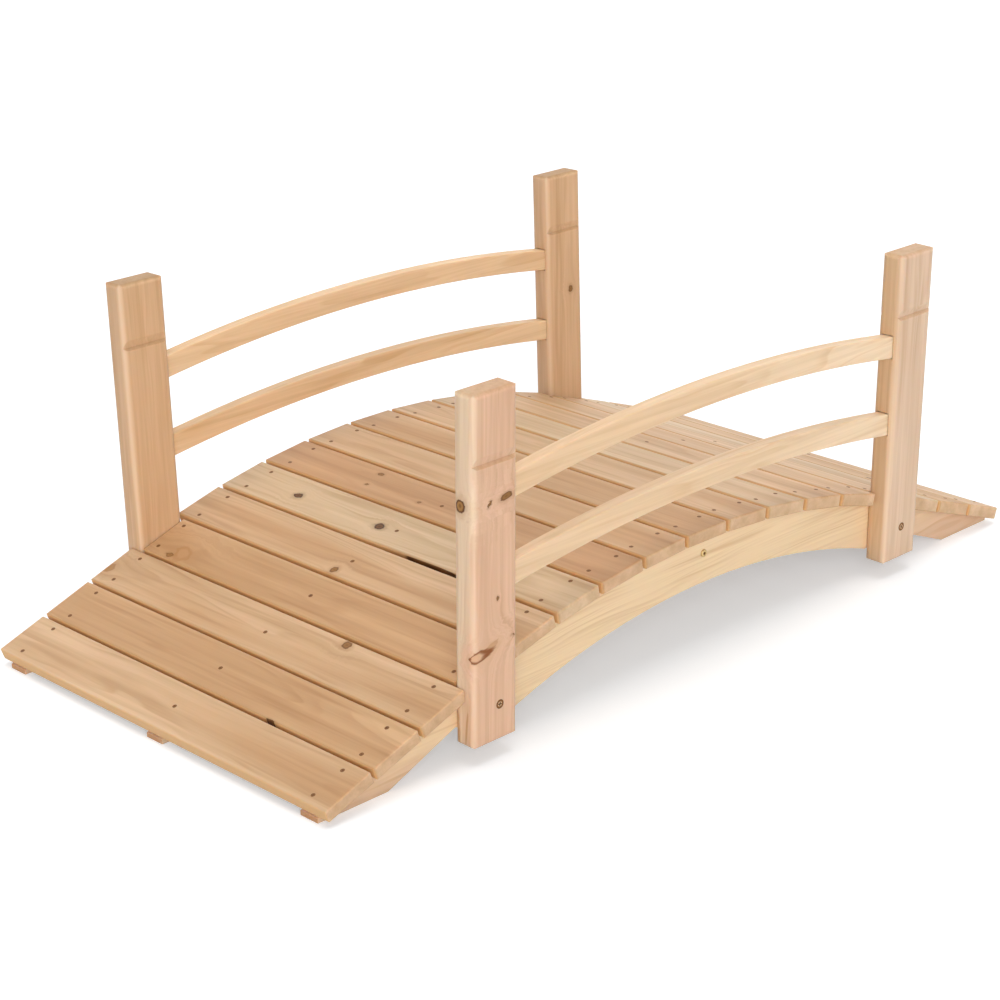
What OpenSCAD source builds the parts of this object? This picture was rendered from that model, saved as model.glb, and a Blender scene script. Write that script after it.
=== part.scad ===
// Moon bridge: a small arched garden bridge of planed softwood.
// Deck planks lie across three arched stringers. Four grooved posts stand against the side stringers,
// leaning out a little, and hold two curved rails a side, let into mortises in the posts' end faces.
// Millimetres, +X along the walkway, +Z up, origin on the ground under the middle of the deck.

/* [Deck] */
// Number of planks along the deck, odd so that one lies on the crest
plank_count = 17; // [13:2:19]
// Length of a plank, across the walkway
plank_l = 745; // [500:5:900]
// Width of a plank, along the walkway
plank_w = 86; // [76:1:98]
// Thickness of a plank
plank_t = 20; // [12:1:28]
// Open gap between neighbouring planks
plank_gap = 5; // [3:1:12]
// Radius that eases the edges and ends of a plank
plank_ease = 3; // [1:0.5:5.5]
// How far a plank runs past the outer face of a side stringer
plank_overhang = 21.5; // [4:0.5:30]

/* [Stringers] */
// Radius of the arched top edge that carries the deck
arch_r = 1400; // [1100:10:2200]
// Slope of the straight tails beyond the arch, in degrees
tail_slope = 19.5; // [15:0.5:22]
// Slope of the underside of a tail, in degrees
under_slope = 22; // [19:0.5:26]
// Thickness of a stringer
stringer_t = 35; // [24:1:50]
// Depth of the stringer at the crest
stringer_depth = 77; // [64:1:96]
// Radius of the arched lower edge
soffit_r = 1250; // [1150:10:2000]
// How far the middle of the lower arch lies towards +X of the deck's middle
soffit_shift = 20; // [-30:1:30]
// Length of the flat that a tail stands on
foot_l = 124; // [90:1:150]
// Height of the blunt tip where a tail ends on the ground
tip_h = 7; // [4:1:14]
// How far the tip runs out beyond the first plank
tip_reach = 2; // [1:1:10]

/* [Posts] */
// Greatest width of a post along the walkway, held to the bay of its short plank
post_w = 84; // [50:1:90]
// Thickness of a post across the walkway
post_t = 39; // [30:1:60]
// Height of a post's top above the ground
post_top = 538; // [480:1:800]
// Height of a post's foot above the ground
post_foot = 28; // [6:1:36]
// Outward lean of a post, in degrees
post_lean = 1.1; // [0.2:0.1:3]
// Radius that rounds the upright edges of a post
post_round = 10; // [2:0.5:14]
// Radius that eases the top and foot edges of a post
post_ease = 7; // [1:0.5:10]
// Distance from a post's top down to the bottom of its groove
groove_drop = 99; // [60:1:110]
// Height of the long upper slope of the groove
groove_rise = 12; // [4:1:20]
// Height of the short lower lip of the groove
groove_lip = 4; // [2:1:10]
// Depth of the groove
groove_depth = 4.5; // [2:0.5:6]
// Which plank from the end is cut short to make room for the posts
post_plank = 4; // [3:1:5]
// How far a post is let into the plank beyond it
post_notch = 6; // [2:0.5:8]
// Room between a post and the planks round it
post_clear = 1.2; // [0.6:0.2:4]

/* [Rails] */
// Radius of a rail's top edge
rail_r = 2800; // [1800:10:6000]
// Depth of a rail, top edge to bottom edge
rail_depth = 35; // [28:1:48]
// Thickness of a rail across the walkway
rail_t = 21; // [16:1:24]
// Radius that eases the long edges of a rail
rail_ease = 2; // [0.5:0.5:4]
// Height of the upper rail's crest above the ground
upper_crest = 439; // [400:1:450]
// Distance from the upper rail down to the lower rail
rail_spacing = 127; // [90:1:150]
// How far a rail is let into each post
mortise_depth = 28; // [12:1:44]
// Room round a rail in its mortise
mortise_clear = 1.2; // [0.4:0.2:2.4]

/* [Hidden] */
$fn = 48;
fine = 360;
over = 1;
deck_colour = "#d9b58c";
stringer_colour = "#e2bd84";
post_colour = "#dcb48e";
rail_colour = "#e6c48f";

// The deck line is measured along the stringer's top edge from the crest, and turns straight in the tails.
pitch = plank_w + plank_gap;
arch_len = arch_r * tail_slope * PI / 180;
deck_half = (plank_count - 1) / 2 * pitch + plank_w / 2;
tip_s = deck_half + tip_reach;
function plank_s(i) = (i - (plank_count + 1) / 2) * pitch;
function slope_at(s) = sign(s) * min(abs(s) / arch_r * 180 / PI, tail_slope);
function run_at(s) = arch_r * sin(slope_at(s))
    + sign(s) * max(abs(s) - arch_len, 0) * cos(tail_slope);
function drop_at(s) = arch_r * (1 - cos(slope_at(s)))
    + max(abs(s) - arch_len, 0) * sin(tail_slope);
crest = tip_h + drop_at(tip_s);

// The stringer's outline at +X: where the arch ends, the tip, the foot and the lower edges.
arch_x = run_at(arch_len);
arch_z = crest - drop_at(arch_len);
tip_x = run_at(tip_s);
foot_x = tip_x - foot_l;
under_rise = tan(under_slope);
soffit_crest = crest - stringer_depth;
function under_at(x) = (foot_x - x) * under_rise;
function soffit_at(x) = soffit_crest - soffit_r + sqrt(soffit_r * soffit_r - pow(x - soffit_shift, 2));

// Places of the stringers across the walkway.
side_face = plank_l / 2 - plank_overhang;
stringer_ys = [side_face - stringer_t / 2, 0, stringer_t / 2 - side_face];

// A post stands in the bay of its short plank, let into the next plank out, and leans from the deck line.
out_s = -plank_s(post_plank - 1);
in_s = -plank_s(post_plank + 1);
bay_outer = run_at(out_s) - plank_w / 2 * cos(slope_at(out_s)) - post_clear + post_notch;
bay_inner = run_at(in_s) + plank_w / 2 * cos(slope_at(in_s)) + plank_t * sin(slope_at(in_s)) + post_clear;
post_width = min(post_w, bay_outer - bay_inner);
post_inner = bay_outer - post_width;
post_x = bay_outer - post_width / 2;
lean_z = crest - drop_at(-plank_s(post_plank));

// A rail stops inside the post, at an angle about the centre of its arc, and follows the lean of the posts.
rail_end = post_inner + mortise_depth;
rail_angle = asin(rail_end / rail_r);
rail_fall = rail_r - sqrt(rail_r * rail_r - post_inner * post_inner);
function level_crest(level) = upper_crest - level[1] * rail_spacing;
function rail_y(level) = side_face + post_t / 2 / cos(post_lean)
    + (level_crest(level) - rail_fall - rail_depth / 2 - lean_z) * tan(post_lean);

function two_digits(i) = i < 10 ? str("0", i) : str(i);
function plank_name(i) = str("deck_plank_", two_digits(i));
function from_end(i) = min(i, plank_count + 1 - i);
ENDS = [["near", -1], ["far", 1]];
SIDES = [["left", 1], ["right", -1]];
LEVELS = [["upper", 0], ["lower", 1]];
STRINGERS = ["left_stringer", "middle_stringer", "right_stringer"];
function post_name(side, end) = str(side[0], "_", end[0], "_post");
function rail_name(side, level) = str(side[0], "_", level[0], "_rail");

// A rectangle with round corners, centred on the origin.
module round_rect(w, h, r) {
    square([w - 2 * r, h], center = true);
    square([w, h - 2 * r], center = true);
    for (x = [-1, 1], y = [-1, 1]) translate([x * (w / 2 - r), y * (h / 2 - r)]) circle(r);
}

// A bar with every edge eased, centred on the origin: three rounded outlines, one seen along each axis.
module eased_bar(size, plan_r, side_r, end_r) {
    intersection() {
        linear_extrude(size.z + over, center = true) round_rect(size.x, size.y, plan_r);
        rotate([90, 0, 0]) linear_extrude(size.y + over, center = true) round_rect(size.x, size.z, side_r);
        rotate([90, 0, 90]) linear_extrude(size.x + over, center = true) round_rect(size.y, size.z, end_r);
    }
}

// The room that the posts of one end take up in the plank beyond them.
module post_room(end) {
    reach = bay_outer + post_clear;
    for (side = SIDES)
        translate([end * reach / 2, side[1] * (side_face - post_clear + plank_l / 2), crest])
            cube([reach, plank_l, 2 * crest], center = true);
}

// A deck plank lies on the stringers, square to the deck line at its place along it.
module deck_plank(i) {
    s = plank_s(i);
    length = from_end(i) == post_plank ? 2 * (side_face - post_clear) : plank_l;
    color(deck_colour) difference() {
        translate([run_at(s), 0, crest - drop_at(s)]) rotate([0, slope_at(s), 0])
            translate([0, 0, plank_t / 2])
                eased_bar([plank_w, length, plank_t], plank_ease, plank_ease, plank_ease);
        if (from_end(i) == post_plank - 1) post_room(sign(s));
    }
}

// The stringer seen from the side: an arch with straight tails, less the hollow under it.
// Behind a post, the lower edge runs straight from the arch to the underside of the tail.
module stringer_outline() {
    below = over / under_rise;
    difference() {
        union() {
            intersection() {
                translate([0, crest - arch_r]) circle(arch_r, $fn = fine);
                translate([-arch_x, 0]) square([2 * arch_x, crest]);
            }
            polygon([[-tip_x, 0], [tip_x, 0], [tip_x, tip_h], [arch_x, arch_z],
                [-arch_x, arch_z], [-tip_x, tip_h]]);
        }
        translate([soffit_shift, soffit_crest - soffit_r]) circle(soffit_r, $fn = fine);
        polygon([[-foot_x - below, -over], [foot_x + below, -over],
            [bay_outer, under_at(bay_outer)], [post_inner, soffit_at(post_inner)],
            [-post_inner, soffit_at(-post_inner)], [-bay_outer, under_at(bay_outer)]]);
    }
}

// An arched stringer, standing on the flats at the ends of its tails.
module stringer(y) {
    color(stringer_colour)
        translate([0, y, 0]) rotate([90, 0, 0]) linear_extrude(stringer_t, center = true) stringer_outline();
}

// A rail is part of a ring about an axis across the walkway. Its mortise is the same shape, a little larger.
module rail_shape(side, level, room) {
    depth = rail_depth + 2 * room;
    translate([0, side[1] * rail_y(level), level_crest(level) - rail_r])
        rotate([90, 0, 0]) rotate([0, 0, 90 - rail_angle])
            rotate_extrude(angle = 2 * rail_angle, $fn = fine)
                translate([rail_r - rail_depth / 2, 0])
                    round_rect(depth, rail_t + 2 * room, rail_ease);
}

module rail(side, level) {
    color(rail_colour) rail_shape(side, level, 0);
}

// A cut along one wide face of a post, with a long slope above and a short lip below.
// The face lies at y = 0 and the cut runs along x.
module groove_cut() {
    flare = 1 + over / groove_depth;
    rotate([90, 0, 90]) linear_extrude(post_width + 2 * over, center = true)
        polygon([[-groove_depth, 0], [over, -groove_lip * flare], [over, groove_rise * flare]]);
}

// A bar with a groove across each wide face below its top.
module grooved_bar(h) {
    difference() {
        eased_bar([post_width, post_t, h], post_round, post_ease, post_ease);
        for (turn = [0, 180])
            rotate(turn) translate([0, post_t / 2, h / 2 - groove_drop]) groove_cut();
    }
}

// A leaning post, cut flat where it meets the stringer, with a mortise for each rail.
module post(side, end) {
    h = post_top - post_foot;
    color(post_colour) difference() {
        translate([end[1] * post_x, side[1] * side_face, lean_z]) rotate([-side[1] * post_lean, 0, 0])
            translate([0, side[1] * post_t / 2, post_foot + h / 2 - lean_z]) grooved_bar(h);
        translate([end[1] * post_x, 0, lean_z])
            cube([post_width + 2 * over, 2 * side_face, 2 * lean_z], center = true);
        for (level = LEVELS) rail_shape(side, level, mortise_clear);
    }
}

for (i = [1:plank_count]) deck_plank(i);
for (k = [0:2]) stringer(stringer_ys[k]);
for (side = SIDES, end = ENDS) post(side, end);
for (side = SIDES, level = LEVELS) rail(side, level);
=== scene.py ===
"""Dresses the moon bridge: planed softwood boards, screws and bolts, and a plain pale studio."""

import logging
import math
import random
from collections.abc import Iterable
from dataclasses import dataclass, field
from enum import Enum
from typing import ClassVar

import bmesh
import bpy
from mathutils import Matrix, Vector


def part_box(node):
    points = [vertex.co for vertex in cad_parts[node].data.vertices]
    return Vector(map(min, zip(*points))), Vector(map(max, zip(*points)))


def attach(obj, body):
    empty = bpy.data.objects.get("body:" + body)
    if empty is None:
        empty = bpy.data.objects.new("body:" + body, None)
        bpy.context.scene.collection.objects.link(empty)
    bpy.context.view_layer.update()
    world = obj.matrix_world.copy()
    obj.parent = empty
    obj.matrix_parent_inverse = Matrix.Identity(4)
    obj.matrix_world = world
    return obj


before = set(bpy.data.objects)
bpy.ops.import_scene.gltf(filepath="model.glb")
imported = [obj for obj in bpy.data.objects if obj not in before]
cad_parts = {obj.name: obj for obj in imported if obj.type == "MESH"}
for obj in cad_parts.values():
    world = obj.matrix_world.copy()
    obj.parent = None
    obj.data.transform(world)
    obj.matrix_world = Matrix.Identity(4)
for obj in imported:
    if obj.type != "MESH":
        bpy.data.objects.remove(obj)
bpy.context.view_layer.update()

MM = 0.001
BODY = "root"
UP = Vector((0, 0, 1))
LOG = logging.getLogger("moon_bridge")
# Sockets of a colour Mix node, whose names its sockets for numbers and vectors share.
MIX_SHARE, MIX_UNDER, MIX_OVER, MIXED = 0, 6, 7, 2
# Cosine from which a facet counts as looking a given way.
LOOKING = 0.9

Socket = bpy.types.NodeSocket
Axes = tuple[Vector, Vector, Vector]


def linear(colour: str) -> tuple[float, float, float, float]:
    """Turns an sRGB hex colour to linear light.

    Args:
        colour: Six hex digits after a hash, such as "#d4ad84".

    Returns:
        Red, green, blue and an alpha of 1.
    """
    parts = [int(colour[i : i + 2], 16) / 255 for i in (1, 3, 5)]
    light = [c / 12.92 if c <= 0.04045 else ((c + 0.055) / 1.055) ** 2.4 for c in parts]
    return (light[0], light[1], light[2], 1.0)


class ShaderTree:
    """The node tree of a material or of the world, emptied for new nodes."""

    def __init__(self, owner: bpy.types.Material | bpy.types.World) -> None:
        """Turns on the owner's nodes and clears them.

        Args:
            owner: The material, or the world.
        """
        owner.use_nodes = True
        self.tree = owner.node_tree
        self.tree.nodes.clear()

    def add(
        self, kind: str, inputs: dict[int | str, object] | list[object], out: int | str = 0,
        **settings: object
    ) -> Socket | None:
        """Adds one node with its settings and links.

        Args:
            kind: Blender's name for the node type, without its ShaderNode prefix.
            inputs: Values by the name or number of their input, or in the order of the inputs. One that is
                an output socket is linked.
            out: Name or number of the output that is wanted.
            **settings: Properties of the node itself.

        Returns:
            The wanted output, or nothing for an output node.
        """
        node = self.tree.nodes.new(f"ShaderNode{kind}")
        for name, value in settings.items():
            setattr(node, name, value)
        for key, value in inputs.items() if isinstance(inputs, dict) else enumerate(inputs):
            if isinstance(value, Socket):
                self.tree.links.new(value, node.inputs[key])
            else:
                node.inputs[key].default_value = value
        return node.outputs[out] if node.outputs else None


def new_object(name: str, mesh: bmesh.types.BMesh, materials: list[bpy.types.Material]) -> bpy.types.Object:
    """Makes an object of a bmesh whose place is in its vertices.

    Args:
        name: The object's name.
        mesh: The shape, in metres in the bridge's frame. It is freed.
        materials: The materials that its faces number.

    Returns:
        The new object, in the scene.
    """
    data = bpy.data.meshes.new(name)
    mesh.to_mesh(data)
    mesh.free()
    for material in materials:
        data.materials.append(material)
    made = bpy.data.objects.new(name, data)
    bpy.context.scene.collection.objects.link(made)
    return made


def new_piece(name: str, mesh: bmesh.types.BMesh, materials: list[bpy.types.Material]) -> bpy.types.Object:
    """Makes a finished piece of a bmesh, turns its faces outwards and lets it ride on the bridge.

    Args:
        name: The piece's name.
        mesh: The shape, in metres in the bridge's frame. It is freed.
        materials: The materials that its faces number.

    Returns:
        The new piece.
    """
    bmesh.ops.recalc_face_normals(mesh, faces=mesh.faces)
    piece = new_object(name, mesh, materials)
    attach(piece, BODY)
    return piece


def middle_of(node: str) -> Vector:
    """Returns the middle of a CAD node's box."""
    low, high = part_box(node)
    return (low + high) / 2


def half_of(node: str, axes: Axes) -> tuple[float, float]:
    """Measures a CAD node across and through its grain.

    Args:
        node: The node.
        axes: Directions along the grain, across and through.

    Returns:
        Half its width and half its thickness, in millimetres.
    """
    spans = []
    for axis in axes[1:]:
        reach = [vertex.co.dot(axis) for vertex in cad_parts[node].data.vertices]
        spans.append((max(reach) - min(reach)) / 2 / MM)
    return (spans[0], spans[1])


def face_towards(node: str, out: Vector) -> tuple[Vector, Vector]:
    """Finds the largest facet of a CAD node that looks a given way.

    Args:
        node: The node.
        out: The direction that the face looks.

    Returns:
        A point on the face, in metres, and its true direction.
    """
    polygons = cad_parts[node].data.polygons
    facets = (polygon for polygon in polygons if polygon.normal.dot(out) > LOOKING)
    widest = max(facets, key=lambda polygon: polygon.area)
    return Vector(widest.center), Vector(widest.normal)


class Tone(Enum):
    """The shades that boards of one stack of softwood come in: sapwood, heartwood, late-wood lines and
    sawn ends.
    """

    STRAW = ("#d1b38f", "#c09b74", "#a87d54", "#ddbc99")
    TAN = ("#d2ae88", "#be946a", "#a3754a", "#ddbc99")
    HONEY = ("#d2ab81", "#c1976d", "#a57548", "#ddbc99")
    ROSE = ("#d0a67f", "#c1956c", "#a3724a", "#ddbc99")
    FAWN = ("#edd0a8", "#d6af92", "#c39568", "#b98455")
    PINK = ("#e3c7a8", "#dfb697", "#c59472", "#bf966c")
    BLUSH = ("#d9b58e", "#dbbca0", "#bd9069", "#bf966c")
    AMBER = ("#cfaa87", "#d6b089", "#b98a5f", "#98703f")
    PINE = ("#e9c79f", "#e1bc93", "#cb9d69", "#bf966c")
    # Pine painted paler, as light for the brighter near side.
    LIT_PINE = ("#ecd0ae", "#e4c29b", "#cfa371", "#bf966c")


class Through(Enum):
    """Which way a knot's branch ran: through the wide faces of a board, through its edges, or only into
    the face that looks against the board's through direction. The numbers say whether the knot has an end
    across the board, and through it.
    """

    FACE = (1, 0)
    EDGE = (0, 1)
    SKIN = (1, 1)


class KnotKind(Enum):
    """What a knot looks like: colours of its rim and its heart, how far both cover the wood, and how far
    its core is as dark as the rim.
    """

    DEAD = ("#47280c", "#6b4218", 0.98, 0.6)
    RINGED = ("#5a300c", "#a8783f", 0.97, 0.6)
    SPIKE = ("#85481b", "#dcb18c", 0.92, 0.0)
    FLAME = ("#b07c4a", "#c59a6e", 0.5, 0.0)
    TIGHT = ("#70451a", "#926532", 0.93, 0.5)
    SOFT = ("#9a6a3a", "#ad7e48", 0.7, 0.3)


@dataclass(frozen=True)
class Knot:
    """A branch sawn across, seen on a board.

    Attributes:
        along: Distance from the board's middle along the grain, in millimetres.
        across: Distance from the board's middle across the grain, in millimetres.
        radius: Radius of the knot, in millimetres.
        stretch: How many times longer it is along the grain than across.
        kind: What it looks like.
        through: The faces that it shows on.
        turn: How far its long way is turned from along the grain to across it, in degrees.
    """

    along: float
    across: float
    radius: float
    stretch: float = 1.25
    kind: KnotKind = KnotKind.TIGHT
    through: Through = Through.FACE
    turn: float = 0.0


@dataclass(frozen=True)
class Cut:
    """Where a board lay in its log.

    Attributes:
        pith: Offset of the log's centre from the board's middle, across and through, in millimetres.
        heart_mm: Radius of the log's heartwood, in millimetres.
        lean: Slopes of the log's centre against the board, across and through.
        LEAN: The most that chance leans a log.
    """

    LEAN: ClassVar[tuple[float, float]] = (0.03, 0.025)
    pith: tuple[float, float]
    heart_mm: float
    lean: tuple[float, float]

    @classmethod
    def band(cls, node: str, middle: float, half: float, depth: float) -> "Cut":
        """Cuts a board so that heartwood shows as a band along it.

        Args:
            node: The board's node, which settles what chance settles.
            middle: Where the band's middle line lies across the board, in millimetres.
            half: Half the width of the band, in millimetres. Below zero, all of the board is sapwood.
            depth: Distance from the log's centre to the board, in millimetres.

        Returns:
            The cut.
        """
        chance = random.Random(f"saw {node}")
        across, through = (chance.uniform(-most, most) for most in cls.LEAN)
        heart = math.hypot(half, depth) if half >= 0 else depth + half
        return cls((middle, -depth), heart, (across, through))


@dataclass(frozen=True)
class Board:
    """How one piece of wood lies and looks.

    Attributes:
        node: The CAD node that is this board.
        axes: Directions along the grain, across the wide face and through the thickness.
        tone: The shade of the board.
        cut: Where it lay in its log.
        knots: The knots that show on it.
        gap_shade: How far painted shade browns the edge that its across direction points to, beside the
            gap, from 0 to 1.
    """

    node: str
    axes: Axes
    tone: Tone
    cut: Cut
    knots: tuple[Knot, ...] = ()
    gap_shade: float = 0.0

    @property
    def middle(self) -> Vector:
        """The middle of the board, in metres."""
        return middle_of(self.node)

    @property
    def half(self) -> tuple[float, float]:
        """Half the board's width and thickness, in millimetres."""
        return half_of(self.node, self.axes)

    @property
    def seed(self) -> float:
        """A number of this board's own, so that no two boards share a figure."""
        return random.Random(self.node).uniform(0, 100)


@dataclass(frozen=True)
class PlanedSoftwood:
    """Planed, unfinished softwood. Pale sapwood and warmer heartwood flow into each other, with faint
    growth rings that the saw cut along, fine fibres, a painted highlight along the edges, and a dull sheen.

    Attributes:
        name: Name of the finish.
        ring_mm: Width of a growth ring.
        contrast: How strongly the late wood shows, from 0 to 1.
        blur_mm: Width over which heartwood passes into sapwood.
        streak_mm: Length and width of the broad streaks.
        streak_share: How much the streaks lighten and darken the wood.
        stripe_mm: Length and width of the sparse brown stripes.
        stripe_share: How far the stripes take the colour of late wood, from 0 to 1.
        fibre_mm: Length and width of the fibres. Real ones are finer: these are as coarse as shows.
        fibre_share: How much the fibres lighten and darken the wood.
        end_share: How far the sawn ends take their own colour, from 0 to 1.
        highlight_mm: Width of the band of painted highlight along the board's edges.
        highlight_hex: Colour of that painted highlight.
        highlight_share: How far that band takes that colour, from 0 to 1.
        side_light_hex: Colour of the sawn sides, a painted warm light that lifts the shade in the gaps.
        side_light_share: How far the sides take that colour, from 0 to 1.
        gap_shade_mm: Width of the brown band of painted shade beside a gap.
        gap_shade_hex: Colour of that painted shade.
        roughness: Mean roughness of the planed face.
        glow_share: How much of the light sinks in and comes out warm beside an edge or gap.
    """

    name: str
    ring_mm: float = 5.0
    contrast: float = 0.4
    blur_mm: float = 12.0
    streak_mm: tuple[float, float] = (520.0, 17.0)
    streak_share: float = 0.13
    stripe_mm: tuple[float, float] = (240.0, 8.0)
    stripe_share: float = 0.4
    fibre_mm: tuple[float, float] = (130.0, 2.2)
    fibre_share: float = 0.04
    end_share: float = 0.5
    highlight_mm: float = 7.0
    highlight_hex: str = "#f3e0c6"
    highlight_share: float = 0.1
    side_light_hex: str = "#dbad77"
    side_light_share: float = 0.0
    gap_shade_mm: float = 6.0
    gap_shade_hex: str = "#b08149"
    roughness: float = 0.6
    glow_share: float = 0.5


class WoodShader(ShaderTree):
    """The node tree of one board, in millimetres along, across and through it.

    Attributes:
        WOBBLE_MM, WOBBLE_REACH: Length and width of a log's bends, and how far they take its centre aside.
        PACE_SCALE, PACE_YEARS: How often good growth turns to poor, and how many rings' width it gains.
        LATE_RISE, LATE_FALL: Parts of a ring over which late wood sets in and ends.
        PATCH_MM: Length and width of the patches where rings show.
        PATCH_LEVELS, STRIPE_LEVELS, TINT_LEVELS: Noise that gives the least and the most of each.
        NOISE_LEVELS: Levels that nearly all noise lies between.
        KNOT_REACH, KNOT_PULL: How far out, in knot radii, and how strongly a knot bends the grain.
        KNOT_RAG, RAG_SCALE: How far and how often a knot's outline strays, in knot radii.
        HALO, RIM, HEART, CORE: Distances over which each layer of a knot fades out, in knot radii.
        HALO_SHARE: How far the halo covers the wood beside the other layers.
        SQUARE: Cosines over which a face passes from askew to square.
        TINT: How strongly fibres and streaks change red, green and blue.
        LATE_RELIEF: How far late wood stands up, beside the fibres.
        DULL_SPREAD: How far the fibres raise and lower the roughness.
        SPECULAR: How much a dry planed face reflects, where 0.5 is usual.
        BUMP_MM, BUMP_STRENGTH: Height of the relief, and how far it tilts the light.
        GLOW_MM, GLOW_RADIUS: How far light spreads in the wood, and red, green and blue beside that.
        ENDLESS_MM: A length that has no end on any board.
    """

    WOBBLE_MM = (420.0, 60.0)
    WOBBLE_REACH = 22.0
    PACE_SCALE = 0.23
    PACE_YEARS = 3.0
    LATE_RISE = (0.2, 0.8)
    LATE_FALL = (0.84, 1.0)
    PATCH_MM = (150.0, 34.0)
    PATCH_LEVELS = (0.35, 0.65)
    KNOT_REACH = 3.0
    KNOT_PULL = 0.85
    KNOT_RAG = 0.5
    RAG_SCALE = 1.1
    HALO = (1.0, 2.2)
    RIM = (0.88, 1.12)
    HEART = (0.5, 0.82)
    CORE = (0.1, 0.42)
    HALO_SHARE = 0.3
    SQUARE = (0.5, 0.95)
    STRIPE_LEVELS = (0.56, 0.74)
    TINT_LEVELS = (0.3, 0.7)
    TINT = (0.8, 1.0, 1.35)
    NOISE_LEVELS = (0.25, 0.75)
    LATE_RELIEF = 0.4
    DULL_SPREAD = 0.07
    SPECULAR = 0.3
    BUMP_MM = 0.2
    BUMP_STRENGTH = 0.3
    GLOW_MM = 5.0
    GLOW_RADIUS = (1.0, 0.5, 0.25)
    ENDLESS_MM = 1e6

    def __init__(self, wood: PlanedSoftwood, board: Board) -> None:
        """Keeps the finish and the board that are joined in this material.

        Args:
            wood: The finish.
            board: The board that it is on.
        """
        self.wood = wood
        self.board = board
        self.material = bpy.data.materials.new(f"{wood.name}_{board.node}")
        super().__init__(self.material)

    def board_place(self) -> Socket:
        """Measures places on the board.

        Returns:
            Board coordinates in millimetres from its middle: along, across and through.
        """
        inputs = {
            "Vector": self.add("TexCoord", [], "Object"),
            "Location": self.board.middle,
            "Rotation": Matrix(self.board.axes).transposed().to_euler(),
            "Scale": (MM, MM, MM),
        }
        return self.add("Mapping", inputs, vector_type="TEXTURE")

    def grain_noise(
        self, place: Socket, size: tuple[float, float], detail: float, out: str = "Fac"
    ) -> Socket:
        """Draws noise out along the grain.

        Args:
            place: Board coordinates in millimetres.
            size: Length and width of its patches, in millimetres.
            detail: Octaves of finer noise.
            out: The output that is wanted, Fac or Color.

        Returns:
            The noise, about 0.5.
        """
        shrink = (1 / size[0], 1 / size[1], 1 / size[1])
        scaled = self.add("VectorMath", [place, shrink], operation="MULTIPLY")
        inputs = {"Vector": scaled, "W": self.board.seed + size[0], "Scale": 1.0, "Detail": detail}
        return self.add("TexNoise", inputs, out, noise_dimensions="4D")

    def grow_knot(self, place: Socket, knot: Knot) -> tuple[Socket, Socket]:
        """Bends the grain round a knot.

        Args:
            place: Board coordinates in millimetres.
            knot: The knot.

        Returns:
            The bent coordinates, and the distance from the knot's middle in knot radii.
        """
        ends, radius, turn = knot.through.value, knot.radius, math.radians(knot.turn)
        middle = (knot.along, knot.across * ends[0], knot.across * ends[1])
        if knot.through is Through.SKIN:
            middle = (knot.along, knot.across, -self.board.half[1])
        offset = self.add("VectorMath", [place, middle], operation="SUBTRACT")
        inputs = {
            "Vector": offset,
            "Rotation": (0, turn, 0) if knot.through is Through.EDGE else (0, 0, turn),
            "Scale": (radius * knot.stretch, *(radius if end else self.ENDLESS_MM for end in ends)),
        }
        flat = self.add("Mapping", inputs, vector_type="TEXTURE")
        round_distance = self.add("VectorMath", [flat], "Value", operation="LENGTH")
        inputs = {"Vector": flat, "W": self.board.seed + knot.along, "Scale": self.RAG_SCALE}
        rag = self.add("TexNoise", inputs, noise_dimensions="4D")
        stray = self.KNOT_RAG / 2
        ragged = self.add("MapRange", [rag, *self.NOISE_LEVELS, 1 - stray, 1 + stray])
        distance = self.add("Math", [round_distance, ragged], operation="MULTIPLY")
        square = self.add("Math", [distance, distance], operation="MULTIPLY")
        falling = self.add("Math", [square, -1 / self.KNOT_REACH**2], operation="MULTIPLY")
        near = self.add("Math", [falling], operation="EXPONENT")
        pull = self.add("Math", [near, self.KNOT_PULL], operation="MULTIPLY")
        sideways = self.add("VectorMath", [offset, (0, *ends)], operation="MULTIPLY")
        moved = self.add("VectorMath", {0: sideways, "Scale": pull}, operation="SCALE")
        return self.add("VectorMath", [place, moved], operation="SUBTRACT"), distance

    def log_radius(self, place: Socket) -> Socket:
        """Measures how deep in its log the wood grew.

        Args:
            place: Board coordinates in millimetres.

        Returns:
            The distance from the log's wandering centre line, in millimetres.
        """
        cut = self.board.cut
        noise = self.grain_noise(place, self.WOBBLE_MM, 2.0, "Color")
        reach = (0, 2 * self.WOBBLE_REACH, 2 * self.WOBBLE_REACH)
        centred = self.add("VectorMath", [noise, (0.5, 0.5, 0.5)], operation="SUBTRACT")
        shifted = self.add("VectorMath", [centred, reach, place], operation="MULTIPLY_ADD")
        inputs = {
            "Vector": shifted,
            "Location": (0, *cut.pith),
            "Rotation": (0, cut.lean[1], cut.lean[0]),
        }
        log_place = self.add("Mapping", inputs, vector_type="TEXTURE")
        flat = self.add("VectorMath", [log_place, (0, 1, 1)], operation="MULTIPLY")
        return self.add("VectorMath", [flat], "Value", operation="LENGTH")

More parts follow.
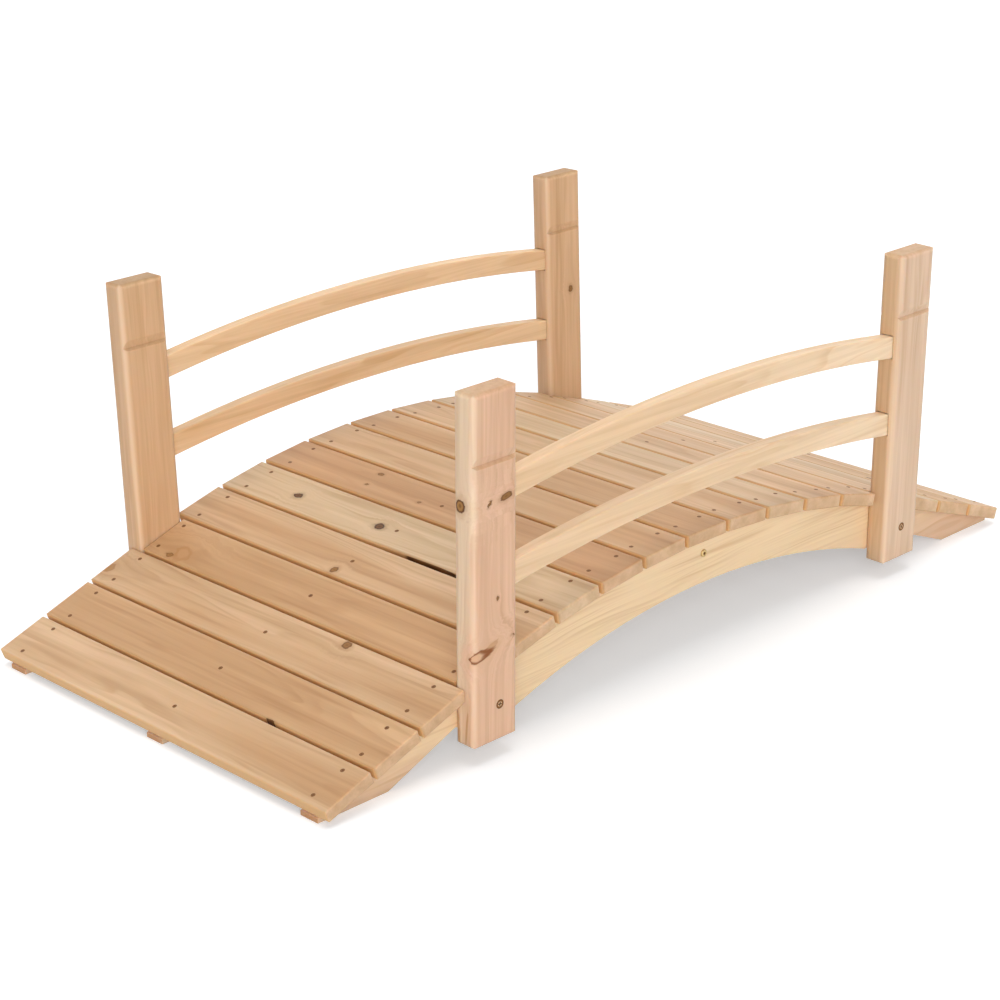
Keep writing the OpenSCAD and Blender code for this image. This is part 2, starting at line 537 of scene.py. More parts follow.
    def growth_rings(self, radius: Socket, place: Socket) -> Socket:
        """Finds the late wood, bold in some years and faint in others.

        Args:
            radius: Distance from the log's centre line, in millimetres.
            place: Board coordinates in millimetres.

        Returns:
            The share of late wood, from 0 to 1.
        """
        years = self.add("Math", [radius, self.wood.ring_mm], operation="DIVIDE")
        inputs = {"W": years, "Scale": self.PACE_SCALE, "Detail": 1.0}
        pace = self.add("TexNoise", inputs, noise_dimensions="1D")
        grown = self.add("Math", [pace, self.PACE_YEARS, years], operation="MULTIPLY_ADD")
        ring = self.add("Math", [grown], operation="FRACT")
        inputs = [ring, *self.LATE_RISE]
        rise = self.add("MapRange", inputs, interpolation_type="SMOOTHSTEP")
        inputs = [ring, *self.LATE_FALL, 1.0, 0.0]
        fall = self.add("MapRange", inputs, interpolation_type="SMOOTHSTEP")
        late = self.add("Math", [rise, fall], operation="MULTIPLY")
        year = self.add("Math", [grown], operation="FLOOR")
        bold = self.add("TexWhiteNoise", {"W": year}, noise_dimensions="1D")
        noise = self.grain_noise(place, self.PATCH_MM, 1.0)
        patch = self.add("MapRange", [noise, *self.PATCH_LEVELS])
        shown = self.add("Math", [bold, patch], operation="MULTIPLY")
        return self.add("Math", [late, shown], operation="MULTIPLY")

    def heartwood(self, radius: Socket) -> Socket:
        """Finds the heartwood.

        Args:
            radius: Distance from the log's centre line, in millimetres.

        Returns:
            The share of heartwood, from 0 to 1.
        """
        edge, blur = self.board.cut.heart_mm, self.wood.blur_mm
        inputs = [radius, edge - blur, edge + blur, 1.0, 0.0]
        return self.add("MapRange", inputs, interpolation_type="SMOOTHSTEP")

    def edge_highlight(self) -> Socket:
        """Finds the board's long edges, where a highlight is painted.

        Returns:
            How far the painted highlight covers the wood, from 0 on the faces.
        """
        wood = self.wood
        place = self.add("VectorMath", [self.board_place()], operation="ABSOLUTE")
        inset = self.add("VectorMath", [place, (0, *self.board.half)], operation="SUBTRACT")
        insets = [
            self.add("VectorMath", [inset, axis], "Value", operation="DOT_PRODUCT")
            for axis in ((0, 1, 0), (0, 0, 1))]
        nearest = self.add("Math", insets, operation="MINIMUM")
        # Painted highlight: the wood is paled towards the highlight colour near each edge.
        inputs = [nearest, -wood.highlight_mm, 0.0, 0.0, wood.highlight_share]
        return self.add("MapRange", inputs, interpolation_type="SMOOTHSTEP")

    def gap_shade_edge(self) -> Socket:
        """Finds the edge beside the gap that the board's across direction points to, where shade is
        painted.

        Returns:
            How far painted shade browns the wood beside the gap, from 0 away from that edge.
        """
        edge = self.board.half[0]
        inputs = [self.board_place(), (0, 1, 0)]
        across = self.add("VectorMath", inputs, "Value", operation="DOT_PRODUCT")
        # Painted shade: a brown band along the edge that the gap shades.
        inputs = [across, edge - self.wood.gap_shade_mm, edge, 0.0, self.board.gap_shade]
        return self.add("MapRange", inputs, interpolation_type="SMOOTHSTEP")

    def facing(self, axis: int, share: float) -> Socket:
        """Finds the faces that look squarely along one of the board's axes.

        Args:
            axis: Number of the axis: 0 along the grain, 1 across it.
            share: What such a face gets.

        Returns:
            The share, from 0 on the other faces.
        """
        inputs = [self.add("TexCoord", [], "Normal"), self.board.axes[axis]]
        slope = self.add("VectorMath", inputs, "Value", operation="DOT_PRODUCT")
        square = self.add("Math", [slope], operation="ABSOLUTE")
        return self.add("MapRange", [square, *self.SQUARE, 0.0, share])

    def stain_knot(self, colour: Socket, distance: Socket, kind: KnotKind) -> Socket:
        """Colours a knot: a soft halo, a dark rim, its heart and its core.

        Args:
            colour: The wood's colour.
            distance: Distance from the knot's middle, in knot radii.
            kind: What the knot looks like.

        Returns:
            The colour with the knot on it.
        """
        rim, heart, cover, core = kind.value
        layers = (
            (self.HALO, self.HALO_SHARE, heart), (self.RIM, 1.0, rim), (self.HEART, 1.0, heart),
            (self.CORE, core, rim))
        for (inner, outer), share, shade in layers:
            inputs = [distance, inner, outer, share * cover, 0.0]
            near = self.add("MapRange", inputs, interpolation_type="SMOOTHSTEP")
            inputs = {MIX_SHARE: near, MIX_UNDER: colour, MIX_OVER: linear(shade)}
            colour = self.add("Mix", inputs, MIXED, data_type="RGBA")
        return colour

    def grown_colour(self, place: Socket, radius: Socket, late: Socket) -> Socket:
        """Colours sapwood, heartwood, rings, stripes and sawn ends.

        Args:
            place: Board coordinates in millimetres, bent round the knots.
            radius: Distance from the log's centre line, in millimetres.
            late: The share of late wood, from 0 to 1.

        Returns:
            The colour.
        """
        wood = self.wood
        colour, heart, line, end = (linear(shade) for shade in self.board.tone.value)
        noise = self.grain_noise(place, wood.stripe_mm, 1.0)
        stripes = self.add("MapRange", [noise, *self.STRIPE_LEVELS, 0.0, wood.stripe_share])
        rings = self.add("Math", [late, wood.contrast], operation="MULTIPLY")
        lines = self.add("Math", [rings, stripes], operation="MAXIMUM")
        layers = (
            (self.heartwood(radius), heart), (lines, line), (self.facing(0, wood.end_share), end))
        for share, shade in layers:
            inputs = {MIX_SHARE: share, MIX_UNDER: colour, MIX_OVER: shade}
            colour = self.add("Mix", inputs, MIXED, data_type="RGBA")
        return colour

    def streaked_colour(self, colour: Socket, place: Socket, fibre: Socket) -> Socket:
        """Lightens and darkens the wood by its fibres and broad streaks.

        Args:
            colour: The wood's colour.
            place: Board coordinates in millimetres, bent round the knots.
            fibre: The noise of the fibres.

        Returns:
            The colour with both on it.
        """
        wood = self.wood
        streak = self.grain_noise(place, wood.streak_mm, 2.0)
        for noise, share in ((fibre, wood.fibre_share), (streak, wood.streak_share)):
            dark, light = ((*(1 + side * share * part for part in self.TINT), 1.0) for side in (-1, 1))
            level = self.add("MapRange", [noise, *self.TINT_LEVELS])
            inputs = {MIX_SHARE: level, MIX_UNDER: dark, MIX_OVER: light}
            tint = self.add("Mix", inputs, MIXED, data_type="RGBA")
            inputs = {MIX_SHARE: 1.0, MIX_UNDER: colour, MIX_OVER: tint}
            colour = self.add("Mix", inputs, MIXED, data_type="RGBA", blend_type="MULTIPLY")
        return colour

    def used_colour(self, colour: Socket) -> Socket:
        """Paints a highlight along the edges, shade beside the gap and warm light on the sawn sides.

        Args:
            colour: The wood's colour.

        Returns:
            The colour with all three on it.
        """
        wood = self.wood
        # Painted highlight along the edges, painted shade beside the gap, and painted warm light on the
        # sides.
        layers = [(self.edge_highlight(), wood.highlight_hex)]
        if self.board.gap_shade:
            layers.append((self.gap_shade_edge(), wood.gap_shade_hex))
        if wood.side_light_share:
            layers.append((self.facing(1, wood.side_light_share), wood.side_light_hex))
        for share, shade in layers:
            inputs = {MIX_SHARE: share, MIX_UNDER: colour, MIX_OVER: linear(shade)}
            colour = self.add("Mix", inputs, MIXED, data_type="RGBA")
        return colour

    def make(self) -> bpy.types.Material:
        """Builds the whole tree.

        Returns:
            The board's material.
        """
        wood = self.wood
        place = self.board_place()
        knots = []
        for knot in self.board.knots:
            place, distance = self.grow_knot(place, knot)
            knots.append((distance, knot.kind))
        radius = self.log_radius(place)
        late = self.growth_rings(radius, place)
        fibre = self.grain_noise(place, wood.fibre_mm, 3.0)

        colour = self.grown_colour(place, radius, late)
        colour = self.used_colour(self.streaked_colour(colour, place, fibre))
        for distance, kind in knots:
            colour = self.stain_knot(colour, distance, kind)

        smooth, dull = wood.roughness - self.DULL_SPREAD, wood.roughness + self.DULL_SPREAD
        height = self.add("Math", [late, self.LATE_RELIEF, fibre], operation="MULTIPLY_ADD")
        relief = {"Strength": self.BUMP_STRENGTH, "Distance": self.BUMP_MM * MM, "Height": height}
        inputs = {
            "Base Color": colour,
            "Roughness": self.add("MapRange", [fibre, *self.NOISE_LEVELS, smooth, dull]),
            "Specular IOR Level": self.SPECULAR,
            "Subsurface Weight": wood.glow_share,
            "Subsurface Radius": self.GLOW_RADIUS,
            "Subsurface Scale": self.GLOW_MM * MM,
            "Normal": self.add("Bump", relief),
        }
        self.add("OutputMaterial", {"Surface": self.add("BsdfPrincipled", inputs)})
        return self.material


@dataclass(frozen=True)
class SpotFinish:
    """The finish of a small fastener or of the wood round it, with a fine mottle.

    Attributes:
        name: Name of the material.
        colour: Its sRGB hex colour.
        roughness: Its mean roughness.
        metallic: How far it reflects as bare metal does, from 0 to 1.
        mottle_mm: Size of the mottle's patches.
        MOTTLE_LEVELS: Levels of noise from the darkest to the lightest patch.
        MOTTLE: How bright those two are beside the colour.
        DULL_SPREAD: How far the mottle raises and lowers the roughness.
    """

    MOTTLE_LEVELS: ClassVar[tuple[float, float]] = (0.3, 0.7)
    MOTTLE: ClassVar[tuple[float, float]] = (0.75, 1.15)
    DULL_SPREAD: ClassVar[float] = 0.1
    name: str
    colour: str
    roughness: float
    metallic: float = 0.0
    mottle_mm: float = 1.2

    def make(self) -> bpy.types.Material:
        """Builds the material.

        Returns:
            The material.
        """
        material = bpy.data.materials.new(self.name)
        tree = ShaderTree(material)
        place = tree.add("TexCoord", [], "Object")
        noise = tree.add("TexNoise", {"Vector": place, "Scale": 1 / (self.mottle_mm * MM), "Detail": 2.0})
        mottle = tree.add("MapRange", [noise, *self.MOTTLE_LEVELS, *self.MOTTLE])
        tint = {MIX_SHARE: 1.0, MIX_UNDER: linear(self.colour), MIX_OVER: mottle}
        smooth, dull = self.roughness - self.DULL_SPREAD, self.roughness + self.DULL_SPREAD
        inputs = {
            "Base Color": tree.add("Mix", tint, MIXED, data_type="RGBA", blend_type="MULTIPLY"),
            "Metallic": self.metallic,
            "Roughness": tree.add("MapRange", {0: noise, 3: smooth, 4: dull}),
        }
        tree.add("OutputMaterial", {"Surface": tree.add("BsdfPrincipled", inputs)})
        return material


# Fibres that a driven screw crushed, brown and matt, with the painted shade of the hole on them, so the
# hole reads darker than the plank.
CRUSHED_WOOD_AND_HOLE_SHADE = SpotFinish("crushed_wood_and_hole_shade", "#7c4d22", 0.85)
# Bronzed steel screw heads: dull brown metal that keeps a small glint.
BRONZED_STEEL = SpotFinish("bronzed_steel", "#8f6239", 0.45, 0.2)
# Painted shade of a driver recess: dark, as nearly no light comes back out of it.
RECESS_SHADE = SpotFinish("driver_recess_shade", "#5a330f", 0.8)
# Yellow passivated steel: straw-coloured screw heads, pale in their dark hole.
YELLOW_STEEL = SpotFinish("yellow_passivated_steel", "#d8b286", 0.45, 0.5)
# Zinc plated steel: a bright bolt head with a soft highlight and a faint warm cast.
ZINC_STEEL = SpotFinish("zinc_plated_steel", "#d0b27c", 0.3, 1.0)


def dress(wood: PlanedSoftwood, board: Board) -> None:
    """Gives a CAD node the material of its board.

    Args:
        wood: The finish.
        board: The board that the node is.
    """
    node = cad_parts[board.node]
    material = WoodShader(wood, board).make()
    node.data.materials.clear()
    node.data.materials.append(material)
    LOG.info("dressed %s in %s, %s", board.node, wood.name, board.tone.name.lower())


def faces_of(made: dict[str, list]) -> set[bmesh.types.BMFace]:
    """Returns the faces of a shape that a bmesh operator has just made."""
    return {face for vertex in made["verts"] for face in vertex.link_faces}


def outermost(faces: Iterable[bmesh.types.BMFace], out: Vector) -> bmesh.types.BMFace:
    """Returns the face whose middle lies furthest in a direction."""
    return max(faces, key=lambda face: face.calc_center_median().dot(out))


def add_screw(mesh: bmesh.types.BMesh, point: Vector, axes: Axes, radius: float, turn: float) -> None:
    """Adds a driven screw to a mesh: a rim of crushed wood with the hole's painted shade, and a dished head
    with a cross recess in painted shade.

    Args:
        mesh: The mesh that it joins. Its materials are crushed wood with painted hole shade, screw head and
            painted recess shade.
        point: Where it sits on the wood, in metres.
        axes: Two directions in the face, and the one out of it.
        radius: Radius of the hole, in millimetres.
        turn: How far the cross is turned, in radians.
    """
    rim, proud, sunk = radius * MM, 0.35 * MM, 1.0 * MM
    wall, dish = 0.22 * rim, 0.3 * MM
    bar_long, bar_wide, lift = rim, 0.26 * rim, 0.04 * MM
    place = Matrix(axes).transposed().to_4x4()
    place.translation = point

    body = bmesh.ops.create_cone(
        mesh, cap_ends=True, segments=16, radius1=rim, radius2=rim, depth=sunk,
        matrix=place @ Matrix.Translation((0, 0, -sunk / 2)))
    disc = outermost(faces_of(body), axes[2])
    # The rim's dark brown is the hole's painted shade over crushed fibres.
    bmesh.ops.inset_individual(mesh, faces=[disc], thickness=wall, depth=proud)
    bmesh.ops.inset_individual(mesh, faces=[disc], thickness=wall, depth=-dish)
    disc.material_index = 1
    for angle in (0, math.pi / 2):
        bar = Matrix.Rotation(turn + angle, 4, "Z") @ Matrix.Diagonal((bar_long, bar_wide, 2 * lift, 1))
        height = Matrix.Translation((0, 0, proud - dish))
        block = bmesh.ops.create_cube(mesh, size=1.0, matrix=place @ height @ bar)
        # The cross stands a hair proud; its dark colour is the recess's painted shade.
        for face in faces_of(block):
            face.material_index = 2


def add_bolt(mesh: bmesh.types.BMesh, point: Vector, out: Vector, radius: float, height: float) -> None:
    """Adds a domed bolt head with a round socket to a mesh.

    Args:
        mesh: The mesh that it joins. Its materials are bolt head and painted recess shade.
        point: Where it sits on the wood, in metres.
        out: The direction out of the wood.
        radius: Radius of the head, in millimetres.
        height: Height of the head, in millimetres.
    """
    rim, tall = radius * MM, height * MM
    socket, deep, dome = 0.42 * radius * MM, 0.7 * height * MM, 0.6 * height * MM
    place = out.to_track_quat("Z", "Y").to_matrix().to_4x4()
    place.translation = point
    head = bmesh.ops.create_cone(
        mesh, cap_ends=True, segments=24, radius1=rim, radius2=rim, depth=tall,
        matrix=place @ Matrix.Translation((0, 0, height / 2 * MM)))
    edges = list(outermost(faces_of(head), out).edges)
    bmesh.ops.bevel(mesh, geom=edges, offset=dome, segments=4, profile=0.5, affect="EDGES", material=-1)
    top = outermost(mesh.faces, out)
    edge = (top.verts[0].co - top.calc_center_median()).length
    bmesh.ops.inset_individual(mesh, faces=[top], thickness=edge - socket, depth=0.0)
    bmesh.ops.inset_individual(mesh, faces=[top], thickness=0.0, depth=-deep)
    # The socket's dark colour is painted shade.
    top.material_index = 1


@dataclass(frozen=True)
class Plank:
    """What one plank looks like.

    Attributes:
        tone: Its shade.
        band: Middle line and half width of its heartwood, across the plank, in millimetres.
        knots: The knots that show on it.
    """

    tone: Tone
    band: tuple[float, float]
    knots: tuple[Knot, ...] = ()


@dataclass
class Deck:
    """The planks of the walkway, and the screws that hold them to the stringers.

    Attributes:
        wood: The finish of the planks.
        planks: What the planks look like, from the near end.
        depth: Distance from a log's centre to the plank, in millimetres.
        gap_shade: How far painted shade browns the planks beside the gaps, from 0 to 1.
        screw_along: Distance of the end screws from a plank's middle, along it, in millimetres.
        screw_across: Distance of the end screws from a plank's middle line, in millimetres.
        screw_drift: The most that chance shifts a screw along and across the plank, in millimetres.
        screw_r: Radius of a screw's hole, in millimetres.
    """

    # Planed cedar: tan boards, no two alike, whose sides carry a painted warm light that makes the gaps
    # brown and not black.
    wood: PlanedSoftwood = PlanedSoftwood("planed_cedar_plank", side_light_share=0.8)
    planks: tuple[Plank, ...] = (
        Plank(Tone.TAN, (4, 32)),
        Plank(Tone.HONEY, (0, 60), (Knot(-160, 43, 2, 4, KnotKind.DEAD),)),
        Plank(Tone.TAN, (10, 32), (
            Knot(-143, -34, 7, 1.2), Knot(367, 10, 10, 1.1, KnotKind.SOFT))),
        Plank(Tone.HONEY, (6, 54), (Knot(294, 33, 5, 1.4), Knot(276, 22, 16, 1.2, KnotKind.FLAME))),
        Plank(Tone.TAN, (12, 32), (Knot(11, 31, 7, 0.9),)),
        Plank(Tone.STRAW, (0, -20), (
            Knot(228, 4, 6.5, 1.25, KnotKind.DEAD), Knot(38, 5, 7, 1.25, KnotKind.DEAD),
            Knot(-116, 43, 1.1, 52, KnotKind.DEAD))),
        Plank(Tone.ROSE, (0, 60), (Knot(166, -24, 4, 1.6), Knot(159, 13, 3), Knot(41, 11, 3))),
        Plank(Tone.TAN, (0, 40)),
        Plank(Tone.TAN, (0, 50)),
        Plank(Tone.TAN, (-6, 30)),
        Plank(Tone.STRAW, (8, 28)),
        Plank(Tone.TAN, (0, 40)),
        Plank(Tone.TAN, (-4, 36), (Knot(120, -12, 5),)),
        Plank(Tone.TAN, (6, 28)),
        Plank(Tone.STRAW, (12, 34)),
        Plank(Tone.HONEY, (0, 40), (Knot(-210, 16, 6, 1.2, KnotKind.DEAD),)),
        Plank(Tone.TAN, (-6, 30)),
    )
    depth: float = 48.0
    gap_shade: float = 0.6
    screw_along: float = 331.0
    screw_across: float = 28.0
    screw_drift: tuple[float, float] = (4.0, 2.5)
    screw_r: float = 3.4

    def nodes(self) -> list[str]:
        """Returns the planks' nodes from the near end."""
        return sorted(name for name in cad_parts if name.startswith("deck_plank_"))

    def axes(self, node: str) -> Axes:
        """Finds how a plank lies.

        Args:
            node: The plank's node.

        Returns:
            Directions along the plank, across it towards the near end, and out of its top.
        """
        _, up = face_towards(node, UP)
        along = Vector((0, 1, 0))
        return along, up.cross(along), up

    def finish_planks(self) -> None:
        """Dresses each plank as a board of its own, all but the first with painted shade beside the gap
        before it.
        """
        gap_shade = 0.0
        for plank, node in zip(self.planks, self.nodes()):
            cut = Cut.band(node, *plank.band, self.depth)
            dress(self.wood, Board(node, self.axes(node), plank.tone, cut, plank.knots, gap_shade))
            gap_shade = self.gap_shade

    def drive_screws(self) -> bpy.types.Object:
        """Sets the screws in every plank.

        Returns:
            The piece that holds them all.
        """
        mesh = bmesh.new()
        ends = ((end, side) for end in (-1, 1) for side in (-1, 1))
        places = [(0.0, 0.0), *((end * self.screw_along, side * self.screw_across) for end, side in ends)]
        drift_along, drift_across = self.screw_drift
        for node in self.nodes():
            along, across, up = self.axes(node)
            top = middle_of(node) + up * half_of(node, (along, across, up))[1] * MM
            chance = random.Random(f"screw {node}")
            for run, offset in places:
                run += chance.uniform(-drift_along, drift_along)
                offset += chance.uniform(-drift_across, drift_across)
                point = top + along * run * MM + across * offset * MM
                add_screw(mesh, point, (along, across, up), self.screw_r, chance.uniform(0, math.pi))
        return new_piece(
            "deck_screws", mesh, [CRUSHED_WOOD_AND_HOLE_SHADE.make(), BRONZED_STEEL.make(), RECESS_SHADE.make()])

    def build(self) -> None:
        """Dresses the planks and drives their screws."""
        self.finish_planks()
        LOG.info("made %s", self.drive_screws().name)


@dataclass
class Stringers:
    """The three arched boards under the deck, and the bolts in the outer two.

    Attributes:
        wood: The finish of the stringers.
        cut: Where they lay in the log: heartwood shows in the tails, more in the far ones.
        bolt_x: Distance of the bolts from mid-span, towards +X, in millimetres.
        bolt_drop: Distance from a stringer's crest down to its bolt, in millimetres.
        bolt_r: Radius of the bolt's head, in millimetres.
        bolt_h: Height of the bolt's head, in millimetres.
    """

    # Sawn pine: pale yellow boards with bold rings, tan where heartwood shows, and brown ends.
    wood: PlanedSoftwood = PlanedSoftwood(
        "sawn_pine_stringer", contrast=0.55, blur_mm=24.0, streak_share=0.05, fibre_share=0.03,
        end_share=0.75, highlight_share=0.05)
    cut: Cut = Cut((-100, -60), 89, (0.04, 0.01))
    bolt_x: float = 16.0
    bolt_drop: float = 30.0
    bolt_r: float = 6.0
    bolt_h: float = 2.4

    def finish_boards(self) -> None:
        """Dresses the stringers, whose grain runs straight along the bridge."""
        axes = (Vector((1, 0, 0)), UP, Vector((0, -1, 0)))
        for node in ("left_stringer", "middle_stringer", "right_stringer"):
            dress(self.wood, Board(node, axes, Tone.FAWN, self.cut))

    def set_bolts(self) -> bpy.types.Object:
        """Sets a round-headed bolt at mid-span in the outer face of each side stringer.

        Returns:
            The piece that holds both.
        """
        mesh = bmesh.new()
        for node, side in (("left_stringer", 1), ("right_stringer", -1)):
            low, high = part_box(node)
            face = high.y if side > 0 else low.y
            point = Vector((self.bolt_x * MM, face, high.z - self.bolt_drop * MM))
            add_bolt(mesh, point, Vector((0, side, 0)), self.bolt_r, self.bolt_h)
        return new_piece("stringer_bolts", mesh, [ZINC_STEEL.make(), RECESS_SHADE.make()])

    def build(self) -> None:
        """Dresses the stringers and sets their bolts."""
        self.finish_boards()
        LOG.info("made %s", self.set_bolts().name)


@dataclass
class Posts:
    """The four grooved posts, and the screw in the outer face of each.

    Attributes:
        wood: The finish of the posts.
        cut: Where they lay in the log.
        knots: The knots that show, by node.
        tones: The shades of the posts, by node.
        screw_shifts: How far a screw sits off its post's middle, towards +X, by node, in millimetres.
        screw_height: Height of the screw above the post's foot, in millimetres.
        screw_r: Radius of the screw's hole, in millimetres.
    """

    # Planed fir: pinkish posts with narrow streaks, a painted highlight along the edges, and dull brown
    # tops.
    wood: PlanedSoftwood = PlanedSoftwood(
        "planed_fir_post", ring_mm=6.0, streak_mm=(420.0, 10.0), streak_share=0.09,
        end_share=0.65, highlight_mm=9.0, highlight_share=0.38)
    cut: Cut = Cut((14, -46), 66, (0.02, 0.01))
    knots: dict[str, tuple[Knot, ...]] = field(default_factory=lambda: {
        "right_near_post": (
            Knot(98, 6, 9, 1.1, KnotKind.RINGED, Through.EDGE),
            Knot(102, 19, 5, 2.2, turn=84), Knot(99, -1, 2.6, 2.2, turn=42),
            Knot(-110, -11, 6, 2.6, KnotKind.FLAME, Through.SKIN, 66),
            Knot(-117, -22, 8, 1.6, KnotKind.SPIKE, Through.SKIN, 62),
            Knot(-105, 12, 3.2, 1.0), Knot(-41, 3, 2.4, 1.4),
            Knot(-226, -4, 1.8, 14.0, KnotKind.FLAME, Through.EDGE, 5),
            Knot(-230, 12, 3.0, 10.0, KnotKind.FLAME, Through.EDGE, -3)),
        "left_far_post": (Knot(47, 13, 5, 1.2),),
    })
    # The right posts, on the near side, take paler tones: partly their own wood, partly painted light for
    # the brighter near side.
    tones: dict[str, Tone] = field(default_factory=lambda: {
        "right_near_post": Tone.PINK, "right_far_post": Tone.BLUSH,
        "left_near_post": Tone.AMBER, "left_far_post": Tone.AMBER,
    })
    screw_shifts: dict[str, float] = field(default_factory=lambda: {"right_near_post": 7.0})
    screw_height: float = 55.0
    screw_r: float = 7.0

    def nodes(self) -> list[str]:
        """Returns the posts' nodes."""
        return sorted(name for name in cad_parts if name.endswith("_post"))

    def outer_face(self, node: str) -> tuple[Vector, Vector]:
        """Returns a point on the outer face of a post, and the direction that the face looks."""
        return face_towards(node, Vector((0, 1 if node.startswith("left") else -1, 0)))

    def finish_posts(self) -> None:
        """Dresses the posts, whose grain runs up them."""
        across = Vector((1, 0, 0))
        for node in self.nodes():
            _, out = self.outer_face(node)
            through = out * math.copysign(1, out.y)
            axes = (across.cross(through), across, through)
            dress(self.wood, Board(node, axes, self.tones[node], self.cut, self.knots.get(node, ())))

    def drive_screws(self) -> bpy.types.Object:
        """Sets a screw low in the outer face of each post.

        Returns:
            The piece that holds them all.
        """
        mesh = bmesh.new()
        for node in self.nodes():
            low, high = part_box(node)
            point, out = self.outer_face(node)
            along = out.cross(Vector((1, 0, 0)))
            middle = (low.x + high.x) / 2 + self.screw_shifts.get(node, 0.0) * MM
            spot = Vector((middle, 0, low.z + self.screw_height * MM))
            spot.y = (point.dot(out) - spot.dot(out)) / out.y
            turn = random.Random(node).uniform(0, math.pi)
            add_screw(mesh, spot, (along, out.cross(along), out), self.screw_r, turn)
        return new_piece(
            "post_screws", mesh, [CRUSHED_WOOD_AND_HOLE_SHADE.make(), YELLOW_STEEL.make(), RECESS_SHADE.make()])

    def build(self) -> None:
        """Dresses the posts and drives their screws."""
        self.finish_posts()
        LOG.info("made %s", self.drive_screws().name)


@dataclass
class Rails:
    """The four curved rails between the posts.

    Attributes:
        wood: The finish of the rails.
        band: Middle line and half width of their heartwood, and their distance from the log's centre, in
            millimetres.
    """

    # Planed pine: the palest wood of the bridge, cream with fine rings and narrow streaks.
    wood: PlanedSoftwood = PlanedSoftwood(
        "planed_pine_rail", ring_mm=4.5, contrast=0.5, streak_mm=(420.0, 9.0), streak_share=0.09)
    band: tuple[float, float, float] = (10.0, 30.0, 60.0)

    def build(self) -> None:
        """Dresses the rails, whose grain runs straight along the bridge."""
        axes = (Vector((1, 0, 0)), UP, Vector((0, -1, 0)))
        for node in sorted(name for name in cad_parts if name.endswith("_rail")):
            # The right rails, on the near side, take a paler tone: painted light for the brighter near
            # side.
            tone = Tone.LIT_PINE if node.startswith("right") else Tone.PINE
            dress(self.wood, Board(node, axes, tone, Cut.band(node, *self.band)))


@dataclass(frozen=True)
class Softbox:
    """A broad soft lamp far off, so that it lights every piece alike.

    Attributes:
        name: The lamp's name.
        towards: Direction from the bridge to the lamp.
        level: How brightly it alone lights a white surface that faces it, where 1 is white.
        spread: Width of the lamp as the bridge sees it, in degrees.
    """

    name: str
    towards: tuple[float, float, float]
    level: float
    spread: float

    def hang(self) -> None:
        """Hangs the lamp so that it looks at the bridge."""
        lamp = bpy.data.lights.new(self.name, "SUN")
        lamp.energy = math.pi * self.level
        lamp.angle = math.radians(self.spread)
        holder = bpy.data.objects.new(self.name, lamp)
        holder.rotation_euler = Vector(self.towards).to_track_quat("Z", "Y").to_euler()
        bpy.context.scene.collection.objects.link(holder)


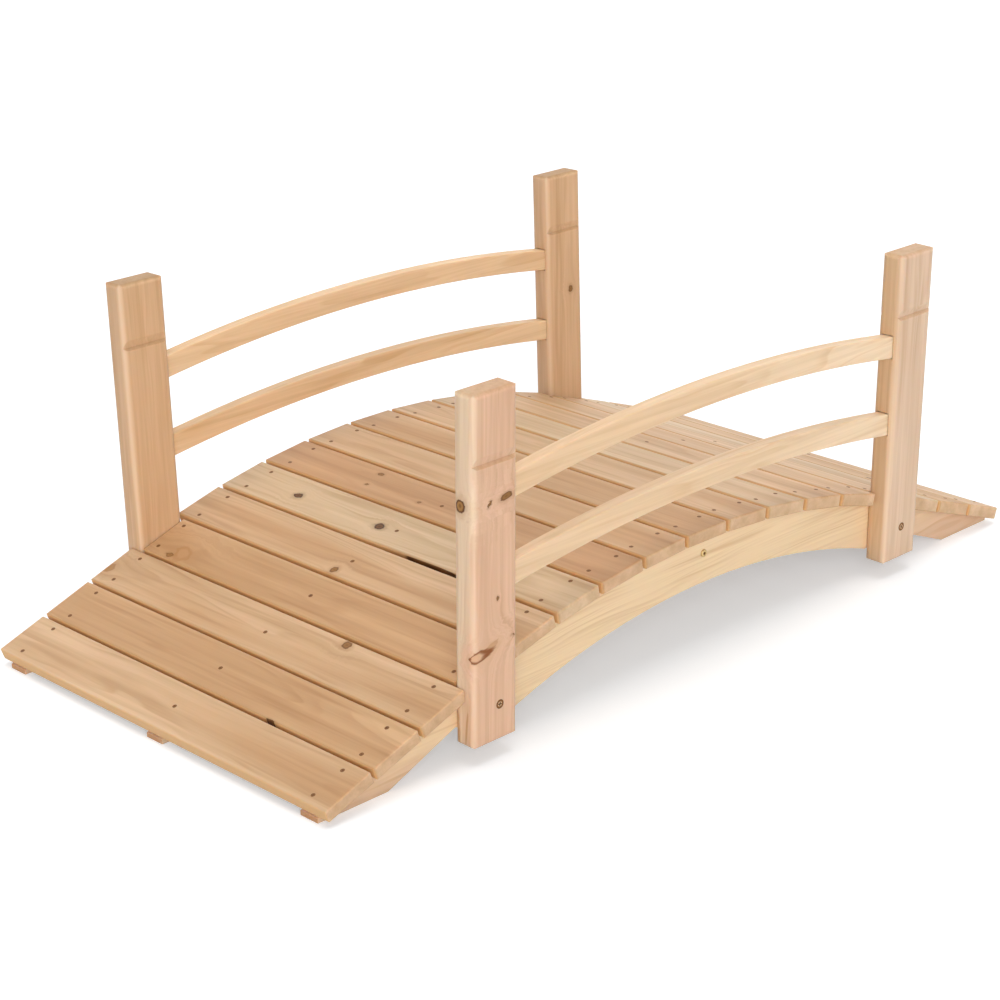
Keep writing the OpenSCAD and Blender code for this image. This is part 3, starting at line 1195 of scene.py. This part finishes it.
@dataclass
class Studio:
    """A plain pale floor, soft light and the camera.

    Attributes:
        lamps: The lamps.
        sky_level: How brightly the surroundings light the bridge, where 1 is white.
        floor_half: Half the width of the floor, in metres.
        floor_drop: How far it lies below the feet, so that no two faces share a place, in millimetres.
        floor_hex: Colour of the floor.
        floor_glow: Light that the floor adds to its own colour for the eye, so that it shows white.
        camera_mm: Where the camera stands, in millimetres.
        heading: Turn of the camera about the vertical, in degrees.
        pitch: Tilt of the camera up from looking straight down, in degrees.
        roll: Turn of the camera about its own axis, in degrees.
        focal_px: Focal length in pixels of the image.
        centre_px: Where the camera's axis meets the image, in pixels.
        image_px: Width and height of the image, in pixels.
        SENSOR_MM: Width of the camera's sensor, which sets the focal length in millimetres.
    """

    SENSOR_MM: ClassVar[float] = 36.0
    lamps: tuple[Softbox, ...] = (
        Softbox("overhead_softbox", (0.0, 0.0, 1.0), 0.42, 40.0),
        Softbox("front_softbox", (-0.62, -0.78, 0.3), 0.6, 40.0),
        Softbox("back_softbox", (0.62, 0.78, 0.4), 0.25, 60.0),
    )
    sky_level: float = 0.35
    floor_half: float = 30.0
    floor_drop: float = 0.2
    floor_hex: str = "#e3e6e9"
    floor_glow: float = 0.38
    camera_mm: tuple[float, float, float] = (-2566.2, -2564.3, 1543.4)
    heading: float = -44.075
    pitch: float = 68.397
    roll: float = -0.977
    focal_px: float = 2462.8
    centre_px: tuple[float, float] = (490.5, 527.7)
    image_px: float = 1000.0

    def eye_rays(self, tree: ShaderTree) -> Socket:
        """Finds the rays that show a surface, in plain sight, in a gloss or through glass.

        Args:
            tree: The tree of the surface.

        Returns:
            1 for those rays and 0 for the rest.
        """
        seen = tree.add("LightPath", [], "Is Camera Ray")
        for kind in ("Is Glossy Ray", "Is Transmission Ray"):
            seen = tree.add("Math", [seen, tree.add("LightPath", [], kind)], operation="MAXIMUM")
        return seen

    def lay_floor(self) -> bpy.types.Object:
        """Lays a pale floor that shows white where it is lit.

        Returns:
            The floor.
        """
        # Matt white paper: no gloss, and a soft grey shadow where the bridge stands.
        material = bpy.data.materials.new("matt_white_paper")
        tree = ShaderTree(material)
        glow = tree.add("Math", [self.eye_rays(tree), self.floor_glow], operation="MULTIPLY")
        paper = tree.add("BsdfDiffuse", {"Color": linear(self.floor_hex)})
        shine = tree.add("Emission", {"Strength": glow})
        tree.add("OutputMaterial", {"Surface": tree.add("AddShader", [paper, shine])})

        mesh = bmesh.new()
        below = Matrix.Translation((0, 0, -self.floor_drop * MM))
        bmesh.ops.create_grid(mesh, x_segments=1, y_segments=1, size=self.floor_half, matrix=below)
        floor = new_object("floor", mesh, [material])
        return floor

    def light_world(self) -> None:
        """Sets a soft even light all round, white to the eye."""
        world = bpy.data.worlds.new("studio")
        tree = ShaderTree(world)
        level = tree.add("MapRange", {0: self.eye_rays(tree), 3: self.sky_level, 4: 1.0})
        sky = tree.add("Background", {"Color": (1, 1, 1, 1), "Strength": level})
        tree.add("OutputWorld", {"Surface": sky})
        bpy.context.scene.world = world

    def set_camera(self) -> None:
        """Stands the camera where the picture was taken from."""
        data = bpy.data.cameras.new("camera")
        data.sensor_width = self.SENSOR_MM
        data.lens = self.SENSOR_MM * self.focal_px / self.image_px
        data.shift_x = (self.image_px / 2 - self.centre_px[0]) / self.image_px
        data.shift_y = (self.centre_px[1] - self.image_px / 2) / self.image_px
        camera = bpy.data.objects.new("camera", data)
        turn = (
            Matrix.Rotation(math.radians(self.heading), 4, "Z")
            @ Matrix.Rotation(math.radians(self.pitch), 4, "X")
            @ Matrix.Rotation(math.radians(self.roll), 4, "Z"))
        camera.matrix_world = Matrix.Translation(Vector(self.camera_mm) * MM) @ turn
        bpy.context.scene.collection.objects.link(camera)
        bpy.context.scene.camera = camera

    def build(self) -> None:
        """Lays the floor, hangs the lamps and sets the camera."""
        self.lay_floor()
        self.light_world()
        for lamp in self.lamps:
            lamp.hang()
        self.set_camera()
        bpy.context.scene.view_settings.view_transform = "Standard"


def main() -> None:
    """Builds the bridge's looks piece by piece, then the studio round it."""
    logging.basicConfig(level=logging.INFO, format="%(message)s")
    for part in (Deck(), Stringers(), Posts(), Rails(), Studio()):
        part.build()
        LOG.info("built %s", type(part).__name__)


if __name__ == "__main__":
    main()
